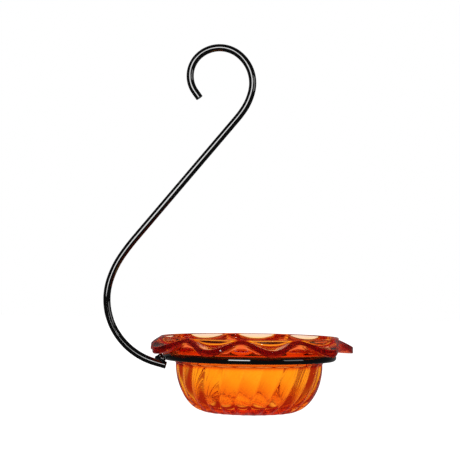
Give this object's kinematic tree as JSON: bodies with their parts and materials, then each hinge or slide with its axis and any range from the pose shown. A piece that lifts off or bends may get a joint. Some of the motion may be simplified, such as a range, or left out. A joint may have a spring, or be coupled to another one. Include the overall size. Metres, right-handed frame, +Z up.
{
  "type": "oriole feeder",
  "caption": "Hanging jelly feeder for birds: a ruffled, swirl-ribbed orange glass dish set in a black wire ring welded to an S-bent hook rod.",
  "frame": {"origin": "centre of the glass dish's flat foot, in the foot's plane", "axes": "+Z up, the rod lies in the plane Y = 0 on the -X side of the dish, -Y faces the viewer of the picture"},
  "size_m": [0.1629, 0.1336, 0.2393],
  "materials": {
    "orange_glass": "gloss",
    "black_paint": "gloss"
  },
  "bodies": {
    "root": {"glass_dish": "orange_glass", "support_ring": "black_paint", "hanger_rod": "black_paint", "weld_bead": "black_paint"}
  },
  "joints": []
}
